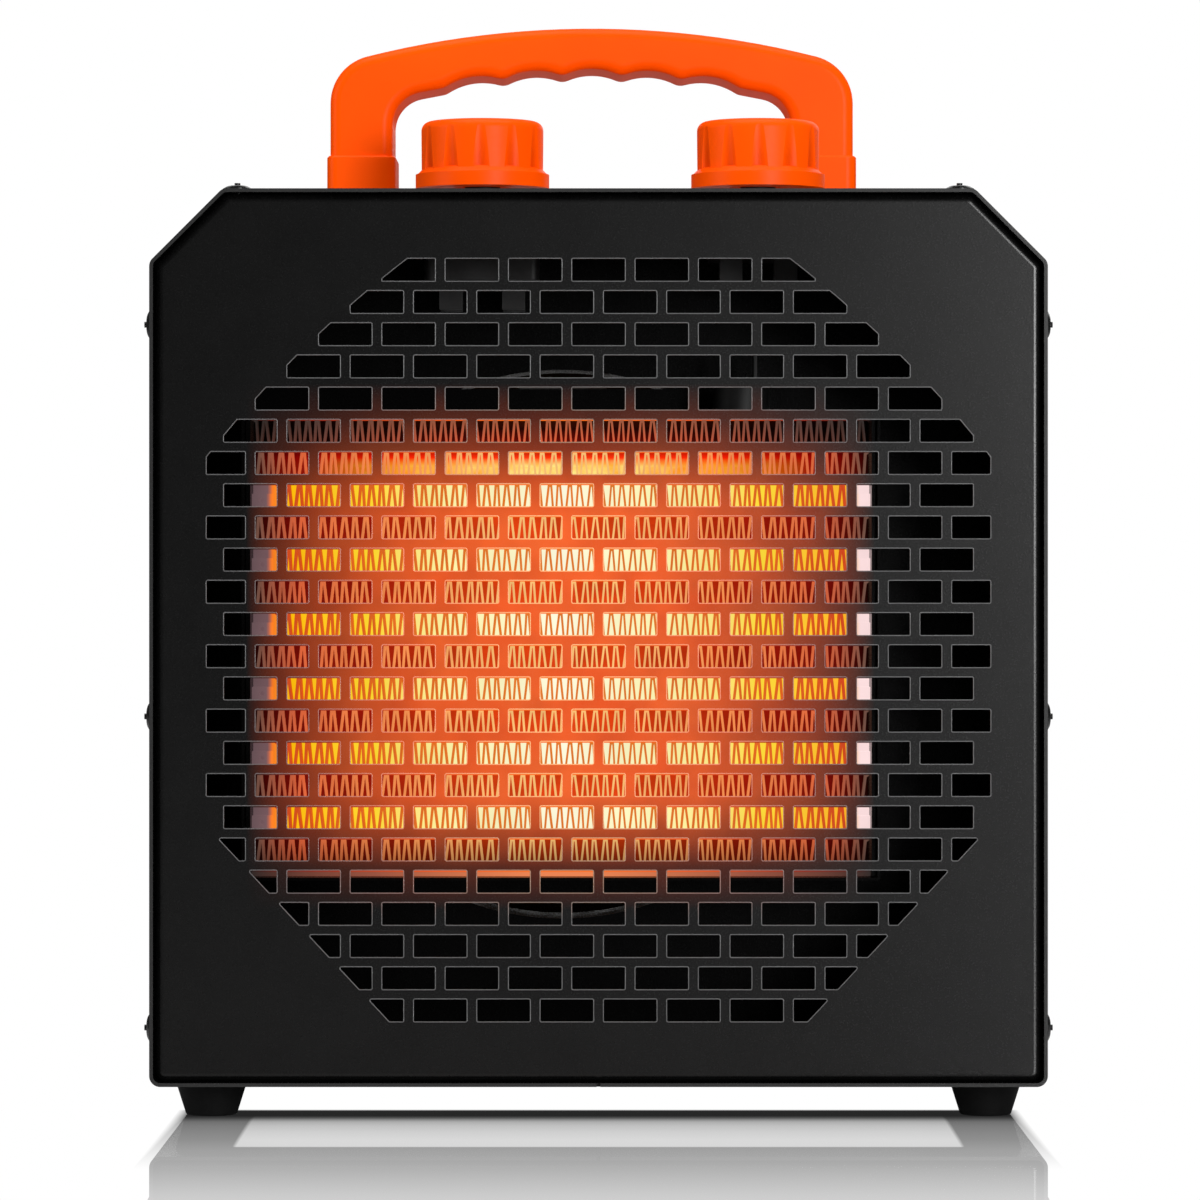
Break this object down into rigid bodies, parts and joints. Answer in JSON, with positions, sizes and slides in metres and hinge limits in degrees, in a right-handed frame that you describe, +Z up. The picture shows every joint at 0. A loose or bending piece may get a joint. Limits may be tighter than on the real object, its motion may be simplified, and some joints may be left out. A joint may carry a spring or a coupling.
{
  "type": "fan heater",
  "caption": "Portable electric fan heater: square black steel case with a front grille over a glowing ceramic element, orange carry handle, two orange knobs and rubber feet.",
  "frame": {"origin": "on the floor, in the middle of the whole width and depth", "axes": "+Z up; the grille faces -Y; +X to the right of someone looking at the grille"},
  "size_m": [0.249, 0.202, 0.3068],
  "materials": {
    "case_black": "satin black powder coat",
    "zinc_steel": "zinc plated sheet",
    "fastener_steel": "zinc plated",
    "fastener_black": "black, satin",
    "orange_plastic": "satin moulded orange",
    "black_plastic": "moulded black",
    "shaft_steel": "turned",
    "lamination_steel": "stacked laminations",
    "coil_winding": "taped winding",
    "bearing_bronze": "sintered",
    "element_aluminium": "thin fins, glowing in use",
    "heating_bar": "aluminium tube with ceramic inside, glowing in use",
    "foot_rubber": "moulded rubber"
  },
  "bodies": {
    "root": {"air_duct": "case_black", "base_pan": "zinc_steel", "bearing_brackets": "zinc_steel", "bearings": "bearing_bronze", "cable_gland": "black_plastic", "chassis_screws": "fastener_steel", "cover_shell": "case_black", "element_bottom_plate": "element_aluminium", "element_bracket_left": "case_black", "element_bracket_right": "case_black", "element_top_plate": "element_aluminium", "fan_bulkhead": "case_black", "fin_strip_01": "element_aluminium", "fin_strip_02": "element_aluminium", "fin_strip_03": "element_aluminium", "fin_strip_04": "element_aluminium", "fin_strip_05": "element_aluminium", "fin_strip_06": "element_aluminium", "fin_strip_07": "element_aluminium", "fin_strip_08": "element_aluminium", "fin_strip_09": "element_aluminium", "fin_strip_10": "element_aluminium", "fin_strip_11": "element_aluminium", "fin_strip_12": "element_aluminium", "fin_strip_13": "element_aluminium", "fin_strip_14": "element_aluminium", "foot_front_left": "foot_rubber", "foot_front_right": "foot_rubber", "foot_rear_left": "foot_rubber", "foot_rear_right": "foot_rubber", "foot_screws": "fastener_steel", "front_panel": "case_black", "front_rivets": "fastener_black", "gland_nut": "black_plastic", "handle": "orange_plastic", "handle_screws": "fastener_steel", "motor_coil": "coil_winding", "motor_stator": "lamination_steel", "motor_strap": "case_black", "panel_nuts": "fastener_steel", "ptc_bar_1": "heating_bar", "ptc_bar_2": "heating_bar", "ptc_bar_3": "heating_bar", "ptc_bar_4": "heating_bar", "ptc_bar_5": "heating_bar", "ptc_bar_6": "heating_bar", "rear_panel": "case_black", "rear_screws": "fastener_black", "separator_plates": "element_aluminium", "switch_body": "black_plastic", "terminal_block": "black_plastic", "thermal_cutout": "black_plastic", "thermostat_body": "black_plastic"},
    "power_knob": {"knob_power": "orange_plastic", "switch_shaft": "shaft_steel"},
    "thermostat_knob": {"knob_thermostat": "orange_plastic", "thermostat_shaft": "shaft_steel"},
    "fan": {"impeller": "black_plastic", "motor_shaft": "shaft_steel", "motor_rotor": "shaft_steel"}
  },
  "joints": [
    {"name": "power_turn", "type": "hinge", "parent": "root", "child": "power_knob", "pos_m": [-0.0327, -0.051, 0.258], "axis": [0, 0, 1], "range_deg": [0, 135]},
    {"name": "thermostat_turn", "type": "hinge", "parent": "root", "child": "thermostat_knob", "pos_m": [0.0449, -0.051, 0.258], "axis": [0, 0, 1], "range_deg": [0, 270]},
    {"name": "fan_spin", "type": "hinge", "parent": "root", "child": "fan", "pos_m": [-0.0104, -0.022, 0.1294], "axis": [0, 1, 0], "continuous": true}
  ]
}
